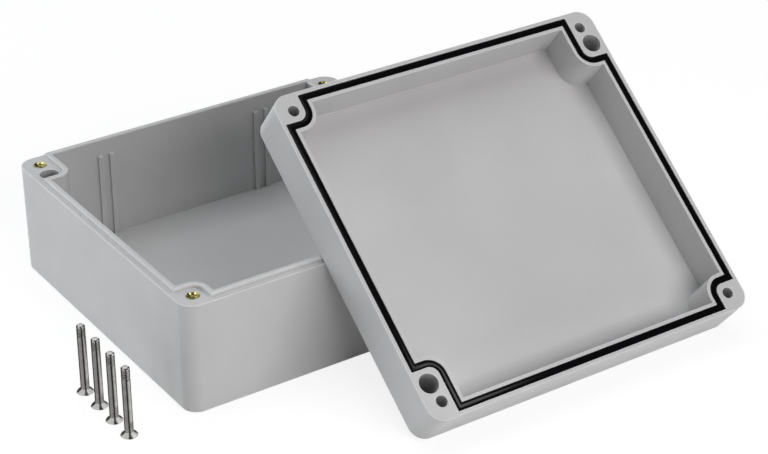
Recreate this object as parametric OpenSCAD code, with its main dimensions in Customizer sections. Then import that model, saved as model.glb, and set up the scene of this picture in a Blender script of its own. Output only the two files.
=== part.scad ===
// Sealed junction box, lying open. The moulded base stands on its underside with a brass
// insert in each corner. The lid rests against the base's front rim with its inside and its
// gasket to the front, and the lid's countersunk screws stand on their heads beside the base.
// The origin is the middle of the underside of the base. X runs along the width, Y to the back.

/* [Box] */
// Width of the box along X
box_w = 160; // [130:1:220]
// Depth of the box along Y
box_d = 147; // [120:1:200]
// Height of the base from its underside to its rim
base_h = 49.5; // [35:0.5:80]
// Height of the lid from its rim to its outer face
lid_h = 20.5; // [16:0.5:30]
// Radius of the upright corners
corner_r = 7; // [5:0.5:9]
// Radius of the edges round the underside and round the lid's face
edge_r = 0.8; // [0.4:0.1:2]
// Draft of the outer walls in degrees
draft = 0.5; // [0.2:0.1:1.5]
// Thickness of the base's floor
floor_t = 4; // [2:0.5:6]
// Thickness of the lid's face
face_t = 3; // [2:0.5:5]

/* [Seal] */
// Ledge between the outer wall and the gasket groove
ledge_w = 1.6; // [1:0.1:2.5]
// Width of the gasket groove
groove_w = 3.1; // [2.4:0.1:4]
// Depth of the gasket groove
groove_depth = 4.5; // [3.5:0.1:6]
// Lip between the groove and the inside of the lid
lip_w = 1.4; // [1:0.1:2.5]
// Height of the tongue on the base's rim
tongue_h = 2; // [1.2:0.1:3]
// Chamfer along the tongue's edges
tongue_chamfer = 0.4; // [0.2:0.1:0.6]
// Gap at each side of the tongue when it sits in the groove
tongue_gap = 0.3; // [0.1:0.05:0.4]
// Gap at each side of the gasket in the groove
gasket_gap = 0.1; // [0.05:0.05:0.3]
// How far the gasket's crown lies below the lid's rim
gasket_sink = 0.1; // [0.1:0.1:1]
// Rise of the gasket's crown over its shoulders
gasket_crown = 0.7; // [0.6:0.1:1]

/* [Corners] */
// Distance of the lid screws from both outer walls
screw_inset = 7.7; // [6.5:0.1:9]
// Plastic between a lid screw's axis and the groove that passes it
boss_margin = 4.7; // [4.3:0.1:7]
// Radius of the bosses on the side that faces the groove
boss_r = 4; // [2:0.5:6]
// Play round a lid screw in its hole
screw_play = 0.65; // [0.3:0.05:0.8]
// Play round a screw's head in its countersink
head_play = 0.2; // [0.1:0.05:0.4]
// Room under the end of a driven screw
tip_room = 3.5; // [1:0.5:6]

/* [Wall fixing] */
// Width of the pockets that take the wall-fixing screws
pocket_d = 8.4; // [7:0.1:10]
// Hole through the bottom of each pocket
fixing_hole_d = 5; // [4:0.1:6]
// Plastic left under a pocket in the base
pocket_floor_t = 8; // [4:1:20]
// Plastic round a pocket in the lid
pocket_wall = 2; // [1.5:0.1:3]
// Plastic between a pocket in the base and the edge of its boss
pocket_rim = 0.8; // [0.6:0.1:2]
// Plastic between a pocket and the insert beside it
pocket_web = 1.3; // [0.8:0.1:3]

/* [Board guides] */
// Width of a guide rib
rib_w = 2; // [1.2:0.1:3]
// Height of a guide rib over its wall
rib_d = 1.5; // [1:0.1:3]
// Slot between the two ribs of a pair
rib_slot = 3.5; // [1.8:0.1:5]
// Distance of each pair's middle from the middle of the box
rib_pair_x = 39.6; // [25:0.1:45]
// How far the ribs end below the rim
rib_drop = 5.5; // [3:0.5:12]

/* [Hardware] */
// Outside of a brass insert
insert_d = 5.6; // [5.4:0.1:6.4]
// Length of a brass insert
insert_l = 8; // [6:0.5:10]
// How far an insert stands out of the rim
insert_proud = 0.2; // [0:0.05:0.4]
// Depth of the groove round an insert that locks it in the plastic
insert_groove = 0.4; // [0.2:0.1:0.6]
// Length of that groove
insert_groove_l = 1.6; // [1.4:0.1:3]
// Chamfer at the mouth of an insert
insert_mouth = 0.4; // [0.2:0.1:0.6]
// Play between an insert and its hole
insert_gap = 0.02; // [0.01:0.01:0.05]
// Outside of a screw's shank and thread
screw_d = 3.6; // [3.4:0.1:4.1]
// Height of the thread, by which the bore of an insert is smaller than the screw
thread_h = 0.15; // [0.1:0.05:0.3]
// Overall length of a screw
screw_l = 31.5; // [25:0.5:45]
// Outside of a screw's countersunk head
screw_head_d = 7.2; // [6.8:0.1:8.4]
// Straight edge of the screw head under its cone
screw_head_edge = 0.3; // [0.2:0.05:0.6]
// Length of a screw's tapered tip
screw_tip = 0.5; // [0.4:0.1:1]
// Width of the arms of the cross recess in a screw's head
recess_arm_w = 1; // [0.8:0.1:1.4]
// Length of the cross recess over its arms
recess_span = 4; // [3:0.1:4.6]
// Depth of the cross recess
recess_depth = 1.6; // [1:0.1:2]

/* [Layout] */
// Lean of the resting lid in degrees
lid_lean = 38; // [30:0.5:45]
// How far the resting lid is shifted to the right
lid_shift = 63; // [40:0.5:90]
// Gap between the resting lid and the rim that carries it
rest_gap = 0.1; // [0.05:0.05:0.3]
// Distance of the screw row from the base's left wall
screw_row_gap = 25.7; // [12:0.1:40]
// Place along Y of the row's first screw
screw_row_y = -33.8; // [-60:0.1:0]
// Distance from one standing screw to the next
screw_pitch = 12.3; // [10:0.1:20]

/* [Hidden] */
$fn = 64;
INSERTS = ["insert_front_left", "insert_front_right", "insert_back_left", "insert_back_right"];
SCREWS = ["screw_1", "screw_2", "screw_3", "screw_4"];

// Signs of the four corners, in the order of INSERTS
CORNERS = [[-1, -1], [1, -1], [-1, 1], [1, 1]];

plastic_grey = [0.72, 0.72, 0.71];
// Length by which a cut runs past a face
clear = 1;
// Hair's breadth by which the runs of the seal overlap what they join
seam_lap = 1e-7;

// Distances from the outer wall
groove_in = ledge_w + groove_w;
tongue_out = ledge_w + tongue_gap;
tongue_in = groove_in - tongue_gap;
lip_in = groove_in + lip_w;
seal_mid = ledge_w + groove_w / 2;

// Reach of the corner bosses from the outer walls, up to the groove
boss_short = screw_inset + boss_margin;
pocket_x = pocket_d / 2 + pocket_wall;
pocket_y = screw_inset + insert_d / 2 + pocket_web + pocket_d / 2;
boss_long = pocket_y + pocket_d / 2 + pocket_wall;
// In the base the pockets lie closer to the seal than in the lid
fixing_x = boss_short - pocket_rim - pocket_d / 2;
fixing_y = boss_long - pocket_rim - pocket_d / 2;
boss_mid = boss_short + groove_w / 2;

gasket_w = groove_w - 2 * gasket_gap;
gasket_h = groove_depth - gasket_sink;
tongue_w = tongue_in - tongue_out;
screw_cone = (screw_head_d - screw_d) / 2;
screw_hole_d = screw_d + 2 * screw_play;
screw_hole_depth = screw_l - lid_h + tip_room;
countersink_d = screw_head_d + 2 * head_play;
insert_bore_d = screw_d - 2 * thread_h;

// Rest of the lid: its rounded lower edge touches the ground and its face the front rim
lid_edge_v = box_d / 2 - edge_inset(lid_h) - edge_r;
lid_edge_w = lid_h - edge_r;
lid_z = edge_r + lid_edge_v * sin(lid_lean) + lid_edge_w * cos(lid_lean);
rim_points = [
    [box_d / 2, base_h],
    [box_d / 2 - tongue_out, base_h + tongue_h - tongue_chamfer],
    [box_d / 2 - tongue_out - tongue_chamfer, base_h + tongue_h]
];
rim_touch = max([for (p = rim_points) p * [sin(lid_lean), cos(lid_lean)]]);
lid_y = (lid_z * cos(lid_lean) - rim_touch - lid_h - rest_gap) / sin(lid_lean);

// How far the draft brings a wall in, down to the rounding of its edge
function edge_inset(h) = tan(draft) * (h - edge_r);
// The pockets lie on one diagonal of the base, and on the other diagonal of the upturned lid
function has_pocket(s, upturned) = (s.x == s.y) == upturned;
// Reach along Y of the boss in one corner
function boss_reach(s, upturned) = has_pocket(s, upturned) ? boss_long : boss_short;

// Moves to an outer corner of the rim, with both axes pointing into the box
module at_corner(s) {
    translate([s.x * box_w / 2, s.y * box_d / 2, 0])
        mirror([s.x > 0 ? 1 : 0, 0, 0])
            mirror([0, s.y > 0 ? 1 : 0, 0])
                children();
}

// Section of the outer wall beside a corner's axis, with its drafted side and rounded edge
module wall_section(h) {
    foot = corner_r - edge_inset(h) - edge_r;
    polygon([[0, 0], [foot, 0], [foot, edge_r], [foot + edge_r, edge_r], [corner_r, h], [0, h]]);
    translate([foot, edge_r])
        mirror([0, 1])
            quarter_disc(edge_r);
}

module quarter_disc(r) {
    intersection() {
        circle(r);
        square(r);
    }
}

// Outer form of the base and of the lid: a core, drafted walls with a rounded lower edge round it,
// and the same wall section turned round each corner
module outer_form(h) {
    core = [box_w - 2 * corner_r, box_d - 2 * corner_r];
    translate([-core.x / 2, -core.y / 2, 0])
        cube([core.x, core.y, h]);
    for (side = [0, 1]) {
        mirror([0, side, 0])
            translate([-core.x / 2, core.y / 2, 0])
                rotate([90, 0, 90])
                    linear_extrude(core.x)
                        wall_section(h);
        mirror([side, 0, 0])
            translate([core.x / 2, core.y / 2, 0])
                rotate([90, 0, 0])
                    linear_extrude(core.y)
                        wall_section(h);
    }
    for (s = CORNERS)
        at_corner(s)
            translate([corner_r, corner_r, 0])
                rotate([0, 0, 180])
                    rotate_extrude(angle = 90)
                        wall_section(h);
}

// Area inside the seal at a distance from the outer wall, with its notches round the bosses
module seal_area(inset, upturned) {
    grow = inset - ledge_w;
    difference() {
        square([box_w - 2 * inset, box_d - 2 * inset], center = true);
        for (s = CORNERS)
            at_corner(s)
                boss_outline(boss_short + grow, boss_reach(s, upturned) + grow, boss_r + grow);
    }
}

// Outline of a corner boss: a block with one round corner
module boss_outline(x, y, r) {
    square([x - r, y]);
    square([x, y - r]);
    translate([x - r, y - r])
        quarter_disc(r);
}

// Carries a symmetric section along the middle of the seal
module seal_sweep(upturned) {
    for (side = [-1, 1]) {
        seal_run(
            [-box_w / 2 + boss_mid, side * (box_d / 2 - seal_mid)],
            [box_w / 2 - boss_mid, side * (box_d / 2 - seal_mid)],
            [-side, 1],
            [side, 1]
        ) children();
        seal_run(
            [side * (box_w / 2 - seal_mid), -box_d / 2 + boss_mid_y([side, -1], upturned)],
            [side * (box_w / 2 - seal_mid), box_d / 2 - boss_mid_y([side, 1], upturned)],
            [1, -side],
            [1, side]
        ) children();
    }
    for (s = CORNERS)
        at_corner(s)
            boss_turn(boss_mid, boss_mid_y(s, upturned), boss_r + groove_w / 2)
                children();
}

// Distance along Y of the seal's middle where it passes the boss in one corner
function boss_mid_y(s, upturned) = boss_reach(s, upturned) + groove_w / 2;

// Turn of the seal round one boss: a mitre, a short run, an arc, a short run and a mitre
module boss_turn(x, y, r) {
    seal_run([x, seal_mid], [x, y - r], [1, 1], [1, 0]) children();
    seal_run([seal_mid, y], [x - r, y], [1, 1], [0, 1]) children();
    translate([x - r, y - r, 0])
        rotate_extrude(angle = 90)
            translate([r, 0])
                children();
}

// Straight run of the seal from p to q, cut off at both ends along lines in these directions
module seal_run(p, q, cut_p, cut_q) {
    along = q - p;
    lap = seam_lap * along / norm(along);
    intersection() {
        translate([p.x, p.y, 0])
            rotate([0, 0, atan2(along.y, along.x)])
                translate([-groove_w, 0, 0])
                    rotate([90, 0, 90])
                        linear_extrude(norm(along) + 2 * groove_w)
                            children();
        linear_extrude(groove_depth)
            polygon([
                p - lap - groove_w * cut_p,
                p - lap + groove_w * cut_p,
                q + lap + groove_w * cut_q,
                q + lap - groove_w * cut_q
            ]);
    }
}

// Section of the tongue, standing on the rim
module tongue_section() {
    half = tongue_w / 2;
    polygon([
        [-half, 0],
        [half, 0],
        [half, tongue_h - tongue_chamfer],
        [half - tongue_chamfer, tongue_h],
        [-half + tongue_chamfer, tongue_h],
        [-half, tongue_h - tongue_chamfer]
    ]);
}

// Section of the gasket: a strip with a crowned top
module gasket_section() {
    half = gasket_w / 2;
    crown_r = (half * half + gasket_crown * gasket_crown) / (2 * gasket_crown);
    translate([-half, 0])
        square([gasket_w, gasket_h - crown_r]);
    translate([0, gasket_h - crown_r])
        intersection() {
            circle(crown_r);
            translate([-half, 0])
                square([gasket_w, crown_r]);
        }
}

// Guide rib on the inside of the back wall
module guide_rib() {
    translate([-rib_w / 2, box_d / 2 - tongue_in - rib_d, floor_t])
        cube([rib_w, rib_d + tongue_in / 2, base_h - floor_t - rib_drop]);
}

module guide_ribs() {
    for (wall = [0, 1], pair = [-1, 1], rib = [-1, 1])
        mirror([0, wall, 0])
            translate([pair * rib_pair_x + rib * (rib_slot + rib_w) / 2, 0, 0])
                guide_rib();
}

// Moulded base: walls, tongue, corner bosses and board guides in one piece
module base() {
    color(plastic_grey)
        difference() {
            union() {
                difference() {
                    outer_form(base_h);
                    translate([0, 0, floor_t])
                        linear_extrude(base_h)
                            seal_area(tongue_in, false);
                }
                translate([0, 0, base_h - seam_lap])
                    seal_sweep(false)
                        tongue_section();
                guide_ribs();
            }
            for (s = CORNERS)
                at_corner(s) {
                    insert_hole();
                    if (has_pocket(s, false))
                        fixing_pocket();
                }
        }
}

// Hole for an insert, with room under it for the end of the screw
module insert_hole() {
    translate([screw_inset, screw_inset, base_h - insert_l + insert_proud])
        cylinder(h = insert_l, d = insert_d + 2 * insert_gap);
    translate([screw_inset, screw_inset, base_h - screw_hole_depth])
        cylinder(h = screw_hole_depth, d = screw_hole_d);
}

// Pocket for a wall-fixing screw, outside the seal
module fixing_pocket() {
    translate([fixing_x, fixing_y, pocket_floor_t])
        cylinder(h = base_h, d = pocket_d);
    translate([fixing_x, fixing_y, -clear])
        cylinder(h = base_h, d = fixing_hole_d);
}

// Moulded lid with its rim at Z = 0 and its outer face down
module lid_form() {
    difference() {
        translate([0, 0, -lid_h])
            outer_form(lid_h);
        translate([0, 0, -lid_h + face_t])
            linear_extrude(lid_h)
                seal_area(lip_in, true);
        translate([0, 0, -groove_depth])
            linear_extrude(groove_depth + clear)
                difference() {
                    seal_area(ledge_w, true);
                    seal_area(groove_in, true);
                }
        for (s = CORNERS)
            at_corner(s) {
                lid_screw_hole();
                if (has_pocket(s, true))
                    translate([pocket_x, pocket_y, -lid_h + face_t])
                        cylinder(h = lid_h, d = pocket_d);
            }
    }
}

// Hole for a lid screw, countersunk in the outer face
module lid_screw_hole() {
    translate([screw_inset, screw_inset, -lid_h]) {
        translate([0, 0, -clear])
            cylinder(h = lid_h + 2 * clear, d = screw_hole_d);
        translate([0, 0, -clear])
            cylinder(h = clear + screw_head_edge, d = countersink_d);
        translate([0, 0, screw_head_edge])
            cylinder(h = (countersink_d - screw_hole_d) / 2, d1 = countersink_d, d2 = screw_hole_d);
    }
}

// Puts a piece of the lid where the lid rests
module at_rest() {
    translate([lid_shift, lid_y, lid_z])
        rotate([lid_lean, 0, 0])
            children();
}

module lid() {
    color(plastic_grey)
        at_rest()
            lid_form();
}

// Rubber gasket in the lid's groove
module gasket() {
    color([0.05, 0.05, 0.05])
        at_rest()
            translate([0, 0, -groove_depth])
                seal_sweep(true)
                    gasket_section();
}

// Brass insert with a locking groove and a chamfered mouth
module insert(s) {
    outer = insert_d / 2;
    bore = insert_bore_d / 2;
    low = (insert_l - insert_groove_l) / 2;
    high = (insert_l + insert_groove_l) / 2;
    color([0.80, 0.62, 0.25])
        at_corner(s)
            translate([screw_inset, screw_inset, base_h + insert_proud - insert_l])
                rotate_extrude()
                    polygon([
                        [bore, 0],
                        [outer, 0],
                        [outer, low],
                        [outer - insert_groove, low + insert_groove],
                        [outer - insert_groove, high - insert_groove],
                        [outer, high],
                        [outer, insert_l],
                        [bore + insert_mouth, insert_l],
                        [bore, insert_l - insert_mouth]
                    ]);
}

// Countersunk screw standing on its head
module screw(k) {
    r = screw_d / 2;
    head = screw_head_d / 2;
    color([0.75, 0.75, 0.75])
        translate([-box_w / 2 - screw_row_gap, screw_row_y - k * screw_pitch, 0])
            difference() {
                rotate_extrude()
                    polygon([
                        [0, 0],
                        [head, 0],
                        [head, screw_head_edge],
                        [r, screw_head_edge + screw_cone],
                        [r, screw_l - screw_tip],
                        [r - screw_tip, screw_l],
                        [0, screw_l]
                    ]);
                for (turn = [0, 90])
                    rotate([0, 0, turn])
                        translate([-recess_span / 2, -recess_arm_w / 2, -clear])
                            cube([recess_span, recess_arm_w, recess_depth + clear]);
            }
}

base();
lid();
gasket();
for (k = [0:3]) insert(CORNERS[k]);
for (k = [0:3]) screw(k);
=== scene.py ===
# %% [markdown]
# # A sealed junction box, opened
# The box lies open on a white table. Its moulded base stands on its underside, the lid leans against
# it with the gasket to the front, and the four lid screws stand on their heads in a row.
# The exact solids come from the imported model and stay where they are. This lesson makes a finely
# finished piece for each of them, in the same place. Lengths are in metres, apart from the turned
# outlines and threads, which are in millimetres.

import math

import bmesh
import bpy
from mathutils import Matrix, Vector


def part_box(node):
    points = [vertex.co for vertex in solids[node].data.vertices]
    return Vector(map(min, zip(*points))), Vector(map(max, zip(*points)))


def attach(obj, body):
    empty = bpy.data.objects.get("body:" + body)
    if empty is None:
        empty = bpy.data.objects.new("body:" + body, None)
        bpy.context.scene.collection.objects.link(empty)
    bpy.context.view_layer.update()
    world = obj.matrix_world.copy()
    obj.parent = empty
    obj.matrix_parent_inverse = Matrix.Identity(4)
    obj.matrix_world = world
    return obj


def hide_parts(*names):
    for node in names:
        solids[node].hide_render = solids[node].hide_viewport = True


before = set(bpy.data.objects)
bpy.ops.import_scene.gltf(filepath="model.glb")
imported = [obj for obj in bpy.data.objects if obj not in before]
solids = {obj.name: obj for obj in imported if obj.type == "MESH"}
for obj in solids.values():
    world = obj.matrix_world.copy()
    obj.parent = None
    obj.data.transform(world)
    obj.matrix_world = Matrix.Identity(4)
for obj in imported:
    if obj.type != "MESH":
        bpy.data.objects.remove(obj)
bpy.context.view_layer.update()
scene = bpy.context.scene
scene.view_settings.view_transform = "Standard"
MM = 0.001
print("solids:", ", ".join(sorted(solids)))

# %% [markdown]
# ## The camera
# A product photo is taken from well back with a long lens, so that upright edges stay nearly parallel.
# The place, the two angles and the focal length were found by matching edges and holes of the solids
# to the picture. A camera could also be aimed with a constraint, but fixed angles are plain to read.

# %% Place the camera
PICTURE_W = 768
FOCAL_PIXELS = 2260.0
SENSOR_W = 36.0
EYE_PLACE = (-0.430757, -0.729948, 0.498805)
EYE_TILT = math.radians(60.8505)
EYE_TURN = math.radians(-33.988)
CLIP_NEAR, CLIP_FAR = 0.02, 30.0

eye = bpy.data.cameras.new("picture_camera")
eye.sensor_fit = "HORIZONTAL"
eye.sensor_width = SENSOR_W
eye.lens = SENSOR_W * FOCAL_PIXELS / PICTURE_W
eye.clip_start = CLIP_NEAR
eye.clip_end = CLIP_FAR
camera = bpy.data.objects.new("picture_camera", eye)
camera.location = EYE_PLACE
camera.rotation_euler = (EYE_TILT, 0.0, EYE_TURN)
scene.collection.objects.link(camera)
scene.camera = camera
print("lens", round(eye.lens, 2), "mm")

# %% [markdown]
# ## A way to write finishes
# Every finish below is a small net of shader nodes. A few helpers keep the nets short: one puts a value
# or a link into a socket, one adds a node with its settings, and one gives the place on the piece that a
# pattern reads. They could be left out, at the cost of three lines for every node.

# %% Helpers for finishes
def put(tree, socket, value):
    if isinstance(value, bpy.types.NodeSocket):
        tree.links.new(value, socket)
    else:
        socket.default_value = value


def add_node(tree, kind, values=None, **settings):
    node = tree.nodes.new(kind)
    for name, value in settings.items():
        setattr(node, name, value)
    for name, value in (values or {}).items():
        put(tree, node.inputs[name], value)
    return node


def own_place(tree):
    return add_node(tree, "ShaderNodeTexCoord").outputs["Object"]


def start_finish(name):
    finish = bpy.data.materials.new(name)
    finish.use_nodes = True
    tree = finish.node_tree
    return finish, tree, tree.nodes["Principled BSDF"]


print("finish helpers ready")

# %% [markdown]
# ## The table
# The real box was photographed on seamless white paper. A large grid just under the box is enough.
# Paper alone would render a little grey. So what the camera and mirrors see of it is mostly a glow of its
# own with some shaded paper added, which keeps a faint shadow. Other rays meet plain white paper.

# %% Rays that look at the background
def combine(tree, operation, first, second):
    return add_node(tree, "ShaderNodeMath", {0: first, 1: second}, operation=operation).outputs[0]


def looking_rays(tree):
    rays = add_node(tree, "ShaderNodeLightPath").outputs
    mirrors = combine(tree, "MAXIMUM", rays["Is Glossy Ray"], rays["Is Transmission Ray"])
    return combine(tree, "MAXIMUM", rays["Is Camera Ray"], mirrors)


print("the background knows camera, glossy and transmission rays")

# %% Patterns in two tones
def grey(level):
    return (level, level, level, 1.0)


def noise(tree, place, scale, detail):
    values = {"Vector": place, "Scale": scale, "Detail": detail}
    return add_node(tree, "ShaderNodeTexNoise", values).outputs["Fac"]


def two_tones(tree, share, low, high, stops=(0.0, 1.0)):
    ramp = add_node(tree, "ShaderNodeValToRGB", {"Fac": share})
    first, last = ramp.color_ramp.elements
    first.position, last.position = stops
    first.color, last.color = low, high
    return ramp.outputs["Color"]


print("pattern helpers ready")

# %% White paper
FIBRE_SCALE, FIBRE_DETAIL = 900.0, 3.0
PAPER_LOW, PAPER_HIGH = 0.84, 0.86
PAPER_GLOW = 0.84
PAPER_SHADE = 0.22

paper = bpy.data.materials.new("white_paper")
paper.use_nodes = True
tree = paper.node_tree
tree.nodes.clear()
fibres = noise(tree, own_place(tree), FIBRE_SCALE, FIBRE_DETAIL)
matt = add_node(
    tree, "ShaderNodeBsdfDiffuse", {"Color": two_tones(tree, fibres, grey(PAPER_LOW), grey(PAPER_HIGH))}
)
shaded = add_node(tree, "ShaderNodeBsdfDiffuse", {"Color": grey(PAPER_SHADE)})
glow = add_node(tree, "ShaderNodeEmission", {"Strength": PAPER_GLOW})
seen = add_node(tree, "ShaderNodeAddShader", {0: shaded.outputs[0], 1: glow.outputs[0]})
choice = add_node(
    tree, "ShaderNodeMixShader", {0: looking_rays(tree), 1: matt.outputs[0], 2: seen.outputs[0]}
)
add_node(tree, "ShaderNodeOutputMaterial", {"Surface": choice.outputs[0]})
print("paper net has", len(tree.nodes), "nodes")

# %% The sheet under the box
TABLE_HALF = 4.0
TABLE_Z = -0.05 * MM
TABLE_CELLS = 8

sheet = bmesh.new()
bmesh.ops.create_grid(sheet, x_segments=TABLE_CELLS, y_segments=TABLE_CELLS, size=TABLE_HALF)
bmesh.ops.translate(sheet, verts=sheet.verts[:], vec=(0.0, 0.0, TABLE_Z))
table_mesh = bpy.data.meshes.new("table")
sheet.to_mesh(table_mesh)
sheet.free()
table_mesh.materials.append(paper)
table = bpy.data.objects.new("table", table_mesh)
scene.collection.objects.link(table)
print("table", 2 * TABLE_HALF, "m wide")

# %% [markdown]
# ## The light
# The picture has soft light without a hard shadow. A wide lamp hangs overhead, one in front brightens
# the walls that face the camera, and a low one at the back left brightens the left side but
# not the inside of the base. Their strengths were found by rendering each lamp alone and mixing the
# pictures until the plastic looked right. The level is plain: white in the open renders about white.
# The world only fills the deepest shade, and looks white to the camera and to mirrors.

# %% The world
FILL = 0.02
WHITE = grey(1.0)

world = bpy.data.worlds.new("white_world")
world.use_nodes = True
tree = world.node_tree
tree.nodes.clear()
dim = add_node(tree, "ShaderNodeBackground", {"Color": WHITE, "Strength": FILL})
white = add_node(tree, "ShaderNodeBackground", {"Color": WHITE, "Strength": 1.0})
choice = add_node(
    tree, "ShaderNodeMixShader", {0: looking_rays(tree), 1: dim.outputs[0], 2: white.outputs[0]}
)
add_node(tree, "ShaderNodeOutputWorld", {"Surface": choice.outputs[0]})
scene.world = world
print("world fills with", FILL)

# %% Wide lamps, set by how much they add
AIM = Vector((0.0, -0.04, 0.03))


def area_lamp(name, place, back, size, energy):
    lamp = bpy.data.lights.new(name, "AREA")
    lamp.shape = "RECTANGLE"
    lamp.size, lamp.size_y = size
    lamp.energy = energy
    holder = bpy.data.objects.new(name, lamp)
    holder.location = place
    holder.rotation_euler = back.to_track_quat("Z", "Y").to_euler()
    scene.collection.objects.link(holder)
    return holder


def soft_lamp(name, place, size, share, tint):
    away = Vector(place) - AIM
    # At this power a white matt card at AIM that faces the lamp sends back share of full white.
    holder = area_lamp(name, place, away, size, share * math.pi ** 2 * away.length_squared)
    holder.data.color = tint
    holder.visible_glossy = False
    print(name, "adds", share, "with", round(holder.data.energy, 2), "W")


soft_lamp(
    "left_lamp", place=(-1.2, 0.8, 0.35), size=(1.0, 0.7), share=0.462, tint=(0.935, 0.982, 1.0)
)
soft_lamp(
    "front_lamp", place=(0.16, -1.4, 0.75), size=(1.4, 0.6), share=0.585, tint=(1.0, 0.967, 0.98)
)
soft_lamp(
    "top_lamp", place=(0.0, 0.2, 1.75), size=(1.6, 1.6), share=0.565, tint=(0.965, 0.985, 1.0)
)

# %% [markdown]
# ## Cards and glints for metal and rubber
# Bright metal and black rubber show their surroundings, and in an all-white room they would show no form.
# Photographers set dark cards round them. Here a dark arch stands over the front, and bent cards stand
# round each screw, dark on some sides and dim on others. On one side the white room shows, and only a low
# card covers the head. Mirrors alone see the cards, so they throw no shadow, and mirrors don't see the wide
# lamps. Small lamps that light no matt wall leave a glint on the gasket's lower corner and sparks in the
# inserts. A painted sky could do the same, but not so close to the screws.

# %% Felt and cards
FLUFF_SCALE, FLUFF_DETAIL = 60.0, 4.0
FELT_ROUGH = 0.9


def felt(name, low, high, glow):
    finish, tree, shader = start_finish(name)
    fluff = noise(tree, own_place(tree), FLUFF_SCALE, FLUFF_DETAIL)
    put(tree, shader.inputs["Base Color"], two_tones(tree, fluff, grey(low), grey(high)))
    put(tree, shader.inputs["Roughness"], FELT_ROUGH)
    put(tree, shader.inputs["Emission Color"], WHITE)
    put(tree, shader.inputs["Emission Strength"], glow)
    return finish


def mirror_card(name, work, finish):
    mesh = bpy.data.meshes.new(name)
    work.to_mesh(mesh)
    work.free()
    mesh.materials.append(finish)
    card = bpy.data.objects.new(name, mesh)
    card.visible_camera = False
    card.visible_diffuse = False
    card.visible_shadow = False
    scene.collection.objects.link(card)
    print(name, "has", len(mesh.polygons), "faces")


dark_felt = felt("dark_felt", low=0.02, high=0.05, glow=0.02)
# The dim cloth glows faintly by itself, so mirrors see it as a soft light.
dim_cloth = felt("dim_cloth", low=0.26, high=0.34, glow=0.44)

# %% Dark arch over the front
ARCH_R = 1.3
ARCH_RISES = (8.0, 28.0, 48.0, 66.0)
ARCH_FIRST, ARCH_LAST = -165.0, 40.0
ARCH_STEPS = 16


def sweep_card(work, edge_line, centre, sweep, steps):
    ribs = [work.edges.new(pair) for pair in zip(edge_line, edge_line[1:])]
    bmesh.ops.spin(
        work, geom=edge_line + ribs, cent=centre, axis=(0.0, 0.0, 1.0), dvec=(0.0, 0.0, 0.0),
        angle=math.radians(sweep), steps=steps, use_merge=False, use_duplicate=False,
    )


begin = math.radians(ARCH_FIRST)
work = bmesh.new()
posts = []
for rise in ARCH_RISES:
    out, up = ARCH_R * math.cos(math.radians(rise)), ARCH_R * math.sin(math.radians(rise))
    posts.append(work.verts.new(AIM + Vector((out * math.cos(begin), out * math.sin(begin), up))))
sweep_card(work, posts, AIM, ARCH_LAST - ARCH_FIRST, ARCH_STEPS)
mirror_card("dark_arch", work, dark_felt)

# %% A glint on the gasket
GASKET_LIGHT = 5.0
LID_LEAN = math.radians(38.0)
LID_UP = Vector((0.0, -math.sin(LID_LEAN), math.cos(LID_LEAN)))
GLINT_SHIFT = Vector((12.0 * MM, 6.0 * MM, 5.0 * MM))
GLINT_SIZE = (0.04, 0.04)
GLINT_AWAY = 0.12


def glint_lamp(name, base, way, away, size, light):
    # At this power a mirror shows the lamp's face light times as bright as white.
    holder = area_lamp(name, base + way * away, way, size, light * math.pi * size[0] * size[1])
    holder.visible_diffuse = False
    print(name, "hangs", round(away / MM), "mm away")


glint = Vector(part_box("gasket")[0]) + GLINT_SHIFT
look = (glint - camera.location).normalized()
glint_lamp(
    "gasket_glint", glint, look.reflect(LID_UP), GLINT_AWAY, GLINT_SIZE, GASKET_LIGHT
)

# %% Sparks in the inserts
SPARK_LIGHT = 3.2
SPARK_SIZE = (13.0 * MM, 18.0 * MM)
SPARK_AWAY = 30.0 * MM
SPARK_TURN = math.radians(66.0)
SPARK_RISE = math.radians(45.0)


def middle_at(node, height):
    low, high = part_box(node)
    return Vector(((low.x + high.x) / 2, (low.y + high.y) / 2, height))


def heading_to_eye(place):
    to_eye = camera.location - place
    return math.atan2(to_eye.y, to_eye.x)


flat, up = math.cos(SPARK_RISE), math.sin(SPARK_RISE)
for corner in ("front_left", "back_left", "back_right"):
    node = "insert_" + corner
    mouth = middle_at(node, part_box(node)[1].z)
    for side, turn in (("left", -SPARK_TURN), ("right", SPARK_TURN)):
        heading = heading_to_eye(mouth) + turn
        way = Vector((flat * math.cos(heading), flat * math.sin(heading), up))
        glint_lamp(f"{corner}_{side}_glint", mouth, way, SPARK_AWAY, SPARK_SIZE, SPARK_LIGHT)

# %% Bent cards round the screws
SCREWS = ("screw_1", "screw_2", "screw_3", "screw_4")
CARD_R = 4.2 * MM
CARD_LOW, CARD_HIGH = 0.4 * MM, 34.0 * MM
CARD_HEAD = 5.0 * MM
CARD_STEPS = 12
DARK_SPANS = ((-8.0, 26.0), (98.0, 140.0), (220.0, 278.0))
DIM_SPANS = ((-82.0, -8.0), (140.0, 220.0))
HEAD_SPANS = ((26.0, 98.0),)


def bend_cards(spans, tall):
    work = bmesh.new()
    for node in SCREWS:
        axis = middle_at(node, 0.0)
        facing = heading_to_eye(axis)
        for first, last in spans:
            begin = facing + math.radians(first)
            foot = axis + Vector((math.cos(begin), math.sin(begin), 0.0)) * CARD_R
            ends = [work.verts.new((foot.x, foot.y, height)) for height in (CARD_LOW, tall)]
            sweep_card(work, ends, axis, last - first, CARD_STEPS)
    return work


mirror_card("dark_screw_cards", bend_cards(DARK_SPANS, CARD_HIGH), dark_felt)
mirror_card("dim_screw_cards", bend_cards(DIM_SPANS, CARD_HIGH), dim_cloth)
mirror_card("low_head_cards", bend_cards(HEAD_SPANS, CARD_HEAD), dim_cloth)
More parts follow.
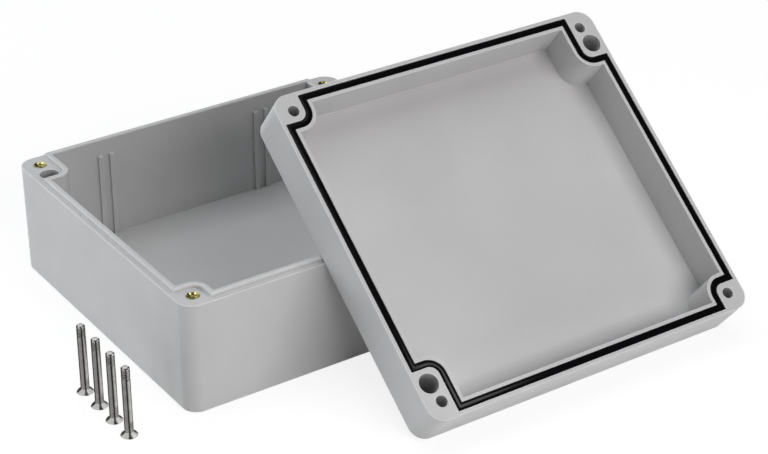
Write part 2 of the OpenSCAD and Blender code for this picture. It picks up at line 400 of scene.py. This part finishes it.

# %% [markdown]
# ## Grey moulded plastic
# Base and lid are moulded from light grey plastic. The mould leaves a very fine grain, and the melt cools
# with faint clouds in its colour. Rounded edges get a painted highlight in paler grey, and deep hollows
# and tight creases get painted shade in darker grey. The grain is bump, the clouds are noise on object
# coordinates, the painted highlight follows a mark that the bevel leaves on its faces, and the painted
# shade lies where little open air is near. A picture texture could carry all this too, but noise needs no
# unwrapping and never stretches.

# %% Colour of the housing
CLOUD_SCALE, CLOUD_DETAIL = 26.0, 4.0
SPECK_SCALE, SPECK_DETAIL = 1100.0, 2.0
SPECK_SHARE = 0.25
BODY_LOW, BODY_HIGH = 0.545, 0.605
BODY_STOPS = (0.25, 0.75)
# Rounded edges are painted with this paler grey as a highlight.
EDGE_HIGHLIGHT_GREY = 0.88


def blend(tree, share, first, second):
    # A mix node has sockets for every kind of value: inputs 6 and 7 and output 2 are its colours.
    values = {0: share, 6: first, 7: second}
    return add_node(tree, "ShaderNodeMix", values, data_type="RGBA").outputs[2]


plastic, tree, shader = start_finish("moulded_grey")
place = own_place(tree)
clouds = noise(tree, place, CLOUD_SCALE, CLOUD_DETAIL)
specks = noise(tree, place, SPECK_SCALE, SPECK_DETAIL)
tone = add_node(tree, "ShaderNodeMix", {0: SPECK_SHARE, 2: clouds, 3: specks}, data_type="FLOAT")
body_grey = two_tones(tree, tone.outputs[0], grey(BODY_LOW), grey(BODY_HIGH), BODY_STOPS)
# The mark from the bevel paints a highlight on the rounded edges.
highlight_reader = add_node(tree, "ShaderNodeAttribute", attribute_name="edge_highlight_mark")
body_and_highlight_grey = blend(tree, highlight_reader.outputs["Fac"], body_grey, grey(EDGE_HIGHLIGHT_GREY))
print("plastic from", BODY_LOW, "to", BODY_HIGH)

# %% Painted shade in hollows and creases
HOLLOW_REACH, HOLLOW_RANGE = 15.0 * MM, (0.10, 0.38)
CREASE_REACH, CREASE_RANGE = 1.6 * MM, (0.42, 0.80)
CREASE_LEAST_UNSHADED = 0.55
# Hollows and creases are painted with this dark grey as shade.
PAINTED_SHADE_GREY = 0.31
SHADE_SAMPLES = 8


def remap(tree, value, source, target=(0.0, 1.0)):
    values = {
        "Value": value, "From Min": source[0], "From Max": source[1],
        "To Min": target[0], "To Max": target[1],
    }
    return add_node(tree, "ShaderNodeMapRange", values).outputs["Result"]


def open_air(tree, reach):
    return add_node(
        tree, "ShaderNodeAmbientOcclusion", {"Distance": reach}, samples=SHADE_SAMPLES, only_local=True
    ).outputs["AO"]


# Where little open air is near, the grey is darkened: painted shade in hollows and creases.
hollow_unshaded = remap(tree, open_air(tree, HOLLOW_REACH), HOLLOW_RANGE)
crease_unshaded = remap(tree, open_air(tree, CREASE_REACH), CREASE_RANGE, (CREASE_LEAST_UNSHADED, 1.0))
unshaded_share = combine(tree, "MINIMUM", hollow_unshaded, crease_unshaded)
put(tree, shader.inputs["Base Color"], blend(tree, unshaded_share, grey(PAINTED_SHADE_GREY), body_and_highlight_grey))
# This prints how far the painted shade reaches.
print("painted shade reaches", HOLLOW_REACH / MM, "mm in hollows and", CREASE_REACH / MM, "mm in creases")

# %% Gloss and grain of the housing
SMEAR_SCALE, SMEAR_DETAIL = 75.0, 5.0
NOISE_RANGE = (0.3, 0.7)
PLASTIC_ROUGH = (0.36, 0.48)
GRAIN_SCALE, GRAIN_DETAIL = 2600.0, 3.0
GRAIN_STRENGTH, GRAIN_DEPTH = 0.5, 0.010 * MM
SINK_SCALE, SINK_DETAIL = 20.0, 1.0
SINK_STRENGTH, SINK_DEPTH = 0.4, 0.25 * MM
PLASTIC_IOR = 1.5


def dent(tree, height, strength, depth):
    values = {"Strength": strength, "Distance": depth, "Height": height}
    return add_node(tree, "ShaderNodeBump", values)


smears = noise(tree, place, SMEAR_SCALE, SMEAR_DETAIL)
put(tree, shader.inputs["Roughness"], remap(tree, smears, NOISE_RANGE, PLASTIC_ROUGH))
fine = dent(tree, noise(tree, place, GRAIN_SCALE, GRAIN_DETAIL), GRAIN_STRENGTH, GRAIN_DEPTH)
broad = dent(tree, noise(tree, place, SINK_SCALE, SINK_DETAIL), SINK_STRENGTH, SINK_DEPTH)
put(tree, broad.inputs["Normal"], fine.outputs["Normal"])
put(tree, shader.inputs["Normal"], broad.outputs["Normal"])
put(tree, shader.inputs["IOR"], PLASTIC_IOR)
print("plastic net has", len(tree.nodes), "nodes")

# %% [markdown]
# ## Black sealing rubber
# The gasket is a soft black rubber strip. It is nearly black, its skin is finely porous, and a little
# dust always sticks to it. Foamed rubber mirrors very little, so its refraction is set low, and only the
# small lamp near the lower corner leaves a soft line of light along the crown.

# %% Finish of the gasket
DUST_SCALE, DUST_DETAIL = 1500.0, 2.0
DUST_STOPS = (0.55, 0.80)
RUBBER_BLACK = (0.0022, 0.0019, 0.0024, 1.0)
RUBBER_DUSTY = (0.0080, 0.0072, 0.0082, 1.0)
SKIN_SCALE, SKIN_DETAIL = 220.0, 4.0
RUBBER_ROUGH = (0.14, 0.24)
PORE_SCALE = 2800.0
PORE_STRENGTH, PORE_DEPTH = 0.15, 0.02 * MM
RUBBER_IOR = 1.30

rubber, tree, shader = start_finish("sealing_rubber")
place = own_place(tree)
dust = noise(tree, place, DUST_SCALE, DUST_DETAIL)
put(tree, shader.inputs["Base Color"], two_tones(tree, dust, RUBBER_BLACK, RUBBER_DUSTY, DUST_STOPS))
skin = noise(tree, place, SKIN_SCALE, SKIN_DETAIL)
put(tree, shader.inputs["Roughness"], remap(tree, skin, NOISE_RANGE, RUBBER_ROUGH))
pores = add_node(tree, "ShaderNodeTexVoronoi", {"Vector": place, "Scale": PORE_SCALE})
pitted = dent(tree, pores.outputs["Distance"], PORE_STRENGTH, PORE_DEPTH)
put(tree, shader.inputs["Normal"], pitted.outputs["Normal"])
put(tree, shader.inputs["IOR"], RUBBER_IOR)
print("rubber net has", len(tree.nodes), "nodes")

# %% [markdown]
# ## Turned brass and bright steel
# Inserts and screws come off a lathe, and the tool leaves fine rings round their axis. Each of these
# pieces carries its own radius and height as a mesh attribute, so the rings follow the part wherever it
# stands. Rings could also be real grooves, but they are finer than any mesh should be. The screws' heads
# and tips are struck, which leaves them brighter than the shank.

# %% Finish of turned metal
RING_SCALE = (9000.0, 9000.0, 1.0)
RING_DETAIL = 2.0
RING_STRENGTH = 0.35
STAIN_SCALE, STAIN_DETAIL = 420.0, 4.0
STAIN_STOPS = (0.30, 0.62)


def turned_place(tree):
    return add_node(tree, "ShaderNodeAttribute", attribute_name="turned").outputs["Vector"]


def turned_metal(name, dark, bright, rough, ring_depth):
    finish, tree, shader = start_finish(name)
    squeezed = add_node(tree, "ShaderNodeMapping", {"Vector": turned_place(tree), "Scale": RING_SCALE})
    rings = noise(tree, squeezed.outputs["Vector"], 1.0, RING_DETAIL)
    stains = noise(tree, own_place(tree), STAIN_SCALE, STAIN_DETAIL)
    put(tree, shader.inputs["Base Color"], two_tones(tree, stains, dark, bright, STAIN_STOPS))
    put(tree, shader.inputs["Roughness"], remap(tree, rings, NOISE_RANGE, rough))
    scored = dent(tree, rings, RING_STRENGTH, ring_depth)
    put(tree, shader.inputs["Normal"], scored.outputs["Normal"])
    put(tree, shader.inputs["Metallic"], 1.0)
    return finish


brass = turned_metal(
    "turned_brass", dark=(0.17, 0.145, 0.035, 1.0), bright=(0.62, 0.57, 0.25, 1.0),
    rough=(0.14, 0.26), ring_depth=0.006 * MM,
)
steel = turned_metal(
    "bright_steel", dark=(0.36, 0.35, 0.335, 1.0), bright=(0.46, 0.45, 0.43, 1.0),
    rough=(0.18, 0.28), ring_depth=0.004 * MM,
)
print("metals:", brass.name, steel.name)

# %% Struck ends of the screws
HEAD_END, TIP_START = 1.9 * MM, 30.5 * MM
FADE = 0.3 * MM
TIP_SHARE = 0.35
STRUCK_STEEL = (0.90, 0.89, 0.87, 1.0)

tree = steel.node_tree
colour = tree.nodes["Principled BSDF"].inputs["Base Color"]
plain_steel = colour.links[0].from_socket
height = add_node(tree, "ShaderNodeSeparateXYZ", {"Vector": turned_place(tree)}).outputs["Y"]
head = remap(tree, height, (HEAD_END + FADE, HEAD_END))
tip = remap(tree, height, (TIP_START - FADE, TIP_START), (0.0, TIP_SHARE))
struck = combine(tree, "MAXIMUM", head, tip)
put(tree, colour, blend(tree, struck, plain_steel, STRUCK_STEEL))
print("steel net has", len(tree.nodes), "nodes")

# %% [markdown]
# ## From a shape to a piece
# A finished shape becomes an object that rides on an empty for the body, takes the place of its solid,
# which is hidden, and carries its finish in a material slot. Faces are smooth, corners above forty degrees
# stay crisp, and a weighted normal keeps broad faces flat beside their small roundings.

# %% Make a piece of a shape
CRISP = math.radians(40.0)


def show_piece(name, work, node, finish):
    bmesh.ops.recalc_face_normals(work, faces=work.faces[:])
    open_edges = sum(1 for edge in work.edges if not edge.is_manifold)
    mesh = bpy.data.meshes.new(name)
    work.to_mesh(mesh)
    work.free()
    mesh.shade_smooth()
    mesh.set_sharp_from_angle(angle=CRISP)
    mesh.materials.append(finish)
    piece = bpy.data.objects.new(name, mesh)
    scene.collection.objects.link(piece)
    flat = piece.modifiers.new("flat_faces", "WEIGHTED_NORMAL")
    flat.keep_sharp = True
    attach(piece, "root")
    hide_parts(node)
    print(name, "has", len(mesh.polygons), "faces and", open_edges, "open edges")


# %% [markdown]
# ## The base and the lid
# A mould never gives a razor edge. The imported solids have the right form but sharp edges, so a copy of
# each is merged, its flat triangles are joined into whole faces, and its edges are bevelled. Modelling
# both again from boxes would take long and gain nothing. Shallow corners such as the tongue's chamfers
# get a smaller rounding first, so that the larger one doesn't run into them.

# %% Copy a solid and soften its edges
MERGE = 0.001 * MM
FLAT = math.radians(0.3)


def copy_solid(node):
    work = bmesh.new()
    work.from_mesh(solids[node].data)
    # A mark on each face sets how much painted highlight it gets; soften sets it on new rounding faces.
    work.faces.layers.float.new("edge_highlight_mark")
    bmesh.ops.remove_doubles(work, verts=work.verts[:], dist=MERGE)
    bmesh.ops.dissolve_limit(
        work, angle_limit=FLAT, use_dissolve_boundaries=False, verts=work.verts[:], edges=work.edges[:]
    )
    return work


def soften(work, corners, inside, width, steps, highlight_strength):
    low, high = (math.radians(corner) for corner in corners)
    edges = [
        edge for edge in work.edges
        if low < edge.calc_face_angle(0.0) <= high and all(inside(vert.co) for vert in edge.verts)
    ]
    made = bmesh.ops.bevel(
        work, geom=edges, offset=width, offset_type="OFFSET", segments=steps, profile=0.5,
        affect="EDGES", clamp_overlap=True, loop_slide=True, material=-1,
    )
    # The new rounding faces are marked for a painted highlight of this strength.
    mark = work.faces.layers.float["edge_highlight_mark"]
    for face in made["faces"]:
        face[mark] = highlight_strength
    print("softened", len(edges), "edges into", len(made["faces"]), "faces")


def anywhere(point):
    return True


# %% Base
BASE_H = 49.5 * MM
RIM_BAND = 1.0 * MM
SHALLOW, STEEP = (25.0, 70.0), (70.0, 181.0)
SHALLOW_ROUND = 0.10 * MM
BASE_ROUND = 0.30 * MM


def near_rim(point):
    return point.z > BASE_H - RIM_BAND


def below_rim(point):
    return point.z < BASE_H - RIM_BAND


work = copy_solid("base")
# The last figure of each call is the strength of the painted highlight on the new rounding.
soften(work, SHALLOW, anywhere, SHALLOW_ROUND, steps=2, highlight_strength=0.6)
soften(work, STEEP, below_rim, BASE_ROUND, steps=3, highlight_strength=0.4)
soften(work, STEEP, near_rim, BASE_ROUND, steps=3, highlight_strength=0.7)
show_piece("base_moulding", work, "base", plastic)

# %% Lid
LID_INNER_DEPTH = 18.5 * MM
LID_INNER_ROUND = 0.16 * MM
LID_OUTER_ROUND = 0.12 * MM

work = copy_solid("lid")
lid_rim = max(vert.co.dot(LID_UP) for vert in work.verts)


def lid_inner_side(point):
    return point.dot(LID_UP) > lid_rim - LID_INNER_DEPTH


def lid_outer_side(point):
    return not lid_inner_side(point)


# The last figure of each call is the strength of the painted highlight on the new rounding.
soften(work, SHALLOW, anywhere, SHALLOW_ROUND, steps=2, highlight_strength=0.6)
soften(work, STEEP, lid_inner_side, LID_INNER_ROUND, steps=3, highlight_strength=0.9)
soften(work, STEEP, lid_outer_side, LID_OUTER_ROUND, steps=2, highlight_strength=0.6)
show_piece("lid_moulding", work, "lid", plastic)

# %% [markdown]
# ## The gasket
# The rubber strip runs round the lid in its groove, with mitred corners and an arc round each screw
# boss. Its solid has a crowned section already, so a merged copy is enough. Soft rubber fills a groove
# nearly to its edges, so the crown's shoulders are lifted towards its crest and then rounded.

# %% Gasket
CROWN_DEPTH = 0.75 * MM
CROWN_LIFT = 0.55
SHOULDERS = (25.0, 100.0)
SHOULDER_ROUND = 0.12 * MM

work = copy_solid("gasket")
crest = max(vert.co.dot(LID_UP) for vert in work.verts)


def in_crown(point):
    return crest - point.dot(LID_UP) < CROWN_DEPTH


for vert in work.verts:
    if in_crown(vert.co):
        vert.co += LID_UP * CROWN_LIFT * (crest - vert.co.dot(LID_UP))
soften(work, SHOULDERS, in_crown, SHOULDER_ROUND, steps=2, highlight_strength=0.0)
show_piece("gasket_strip", work, "gasket", rubber)

# %% [markdown]
# ## Turning parts on a lathe
# A turned part is an outline spun round its axis, as on a real lathe. A thread is the same spin with a
# rise: a small section goes round and climbs one pitch a turn. It is closed at both ends and sits a hair
# inside the core that carries it. A screw modifier could do this too, but the operator leaves a finished
# mesh.

# %% Spin an outline
ROUND = 2.0 * math.pi


def lathe(work, outline, steps, closed):
    start = [work.verts.new((radius * MM, 0.0, height * MM)) for radius, height in outline]
    pairs = list(zip(start, start[1:]))
    if closed:
        pairs.append((start[-1], start[0]))
    edges = [work.edges.new(pair) for pair in pairs]
    bmesh.ops.spin(
        work, geom=start + edges, cent=(0.0, 0.0, 0.0), axis=(0.0, 0.0, 1.0), dvec=(0.0, 0.0, 0.0),
        angle=ROUND, steps=steps, use_merge=True, use_duplicate=False,
    )
    bmesh.ops.remove_doubles(work, verts=work.verts[:], dist=MERGE)
    print("turned", len(work.faces), "faces")


# %% Wind a thread
ROOT_SHARE = 0.46


def wind_thread(work, root, crest, pitch, foot, turns, steps, flat):
    half_root, half_crest = ROOT_SHARE * pitch, flat * pitch / 2
    section = ((root, -half_root), (crest, -half_crest), (crest, half_crest), (root, half_root))
    start = [work.verts.new((radius * MM, 0.0, (foot + rise) * MM)) for radius, rise in section]
    edges = [work.edges.new(pair) for pair in zip(start, start[1:] + start[:1])]
    work.faces.new(start)
    made = bmesh.ops.spin(
        work, geom=start + edges, cent=(0.0, 0.0, 0.0), axis=(0.0, 0.0, 1.0),
        dvec=(0.0, 0.0, pitch * MM / steps), angle=ROUND * turns, steps=int(steps * turns),
        use_merge=False, use_duplicate=False,
    )
    last = [item for item in made["geom_last"] if isinstance(item, bmesh.types.BMEdge)]
    bmesh.ops.contextual_create(work, geom=last)
    print("wound", turns, "turns of thread")


# %% Remember radius and height, then set in place
def note_turned(work):
    own = work.verts.layers.float_vector.new("turned")
    for vert in work.verts:
        vert[own] = (math.hypot(vert.co.x, vert.co.y), vert.co.z, 0.0)


def seat(work, node):
    place = middle_at(node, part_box(node)[0].z)
    bmesh.ops.translate(work, verts=work.verts[:], vec=place)
    print(node, "stands", round(place.z / MM, 2), "mm above the table")


# %% [markdown]
# ## The brass inserts
# Each insert is a threaded brass sleeve that was pressed into its boss. A waist locks it in the plastic,
# and a straight knurl keeps it from turning. The knurl is made by drawing in every other column of the
# turned skin. Only the top shows: a funnel that leads the screw in, and the first turns of the thread.

# %% One insert, in millimetres
SLEEVE_R, WAIST_R, BORE_R, SLEEVE_H = 2.80, 2.40, 1.95, 8.0
INSERT_OUTLINE = (
    (BORE_R, 0.15), (2.10, 0.0), (2.60, 0.0), (SLEEVE_R, 0.20), (SLEEVE_R, 0.50), (SLEEVE_R, 3.00),
    (SLEEVE_R, 3.20), (WAIST_R, 3.60), (WAIST_R, 4.40), (SLEEVE_R, 4.80), (SLEEVE_R, 5.00),
    (SLEEVE_R, 7.20), (SLEEVE_R, 7.40), (2.68, 7.84), (2.63, 7.96), (2.58, SLEEVE_H), (2.53, 7.97),
    (BORE_R, 7.35),
)
KNURL_RINGS = (0.50, 3.00, 5.00, 7.20)
KNURL_DRAW = 0.955
COLUMNS = 72


def make_insert(node):
    work = bmesh.new()
    lathe(work, INSERT_OUTLINE, COLUMNS, closed=True)
    for vert in work.verts:
        column = round(math.atan2(vert.co.y, vert.co.x) / ROUND * COLUMNS)
        on_ring = any(abs(vert.co.z - ring * MM) < MERGE for ring in KNURL_RINGS)
        if on_ring and column % 2 == 0:
            vert.co.x *= KNURL_DRAW
            vert.co.y *= KNURL_DRAW
    wind_thread(work, root=2.0, crest=1.66, pitch=0.7, foot=0.75, turns=9.0, steps=36, flat=0.16)
    note_turned(work)
    seat(work, node)
    show_piece("threaded_" + node, work, node, brass)


for node in ("insert_front_left", "insert_front_right", "insert_back_left", "insert_back_right"):
    make_insert(node)

# %% [markdown]
# ## The lid screws
# The long lid screws have a countersunk head with a cross recess, a plain bright shank and a short
# thread at the end. The skin is turned in one outline. The recess starts as a small grid whose corners
# are cut away, which is bridged to the head's rim and pushed in with a taper, as the punch does it.

# %% Skin and thread of a screw, in millimetres
HEAD_R, SHANK_R, CORE_R, SCREW_H = 3.60, 1.80, 1.50, 31.5
SCREW_OUTLINE = (
    (3.42, 0.0), (3.56, 0.06), (HEAD_R, 0.16), (3.58, 0.32), (2.05, 1.85), (1.88, 2.08), (SHANK_R, 2.40),
    (SHANK_R, 25.8), (1.78, 25.9), (CORE_R, 26.2), (CORE_R, 30.3), (1.74, 30.5), (1.76, 30.9),
    (1.34, 31.36), (1.22, 31.46), (1.05, SCREW_H), (0.0, SCREW_H),
)
SCREW_STEPS = 48


def screw_skin(work):
    lathe(work, SCREW_OUTLINE, SCREW_STEPS, closed=False)
    wind_thread(work, root=1.46, crest=1.78, pitch=0.7, foot=26.35, turns=5.5, steps=40, flat=0.5)


# %% Cross recess in the head
RECESS_SPAN = 4.0 * MM
RECESS_ARM = 1.0 * MM
RECESS_DEPTH = 1.6 * MM
RECESS_TAPER = 0.62
INNER_LINES = 0.4 * RECESS_SPAN


def beside_arms(face):
    middle = face.calc_center_median()
    return min(abs(middle.x), abs(middle.y)) > MERGE


def cross_recess(work):
    grid = bmesh.ops.create_grid(work, x_segments=3, y_segments=3, size=RECESS_SPAN / 2)["verts"]
    for vert in grid:
        for axis in (0, 1):
            if abs(vert.co[axis]) < INNER_LINES:
                vert.co[axis] = math.copysign(RECESS_ARM / 2, vert.co[axis])
    faces = [face for face in work.faces if all(vert in grid for vert in face.verts)]
    cross = [face for face in faces if not beside_arms(face)]
    bmesh.ops.delete(work, geom=[face for face in faces if beside_arms(face)], context="FACES")
    bmesh.ops.bridge_loops(work, edges=[edge for edge in work.edges if edge.is_boundary])
    pushed = bmesh.ops.extrude_face_region(work, geom=cross)
    floor = [item for item in pushed["geom"] if isinstance(item, bmesh.types.BMVert)]
    bmesh.ops.delete(work, geom=[face for face in cross if face.is_valid], context="FACES")
    bmesh.ops.scale(work, verts=floor, vec=(RECESS_TAPER, RECESS_TAPER, 1.0))
    bmesh.ops.translate(work, verts=floor, vec=(0.0, 0.0, RECESS_DEPTH))
    print("recess", round(RECESS_DEPTH / MM, 2), "mm deep")


# %% Four screws
for node in SCREWS:
    work = bmesh.new()
    screw_skin(work)
    cross_recess(work)
    note_turned(work)
    seat(work, node)
    show_piece("lid_" + node, work, node, steel)
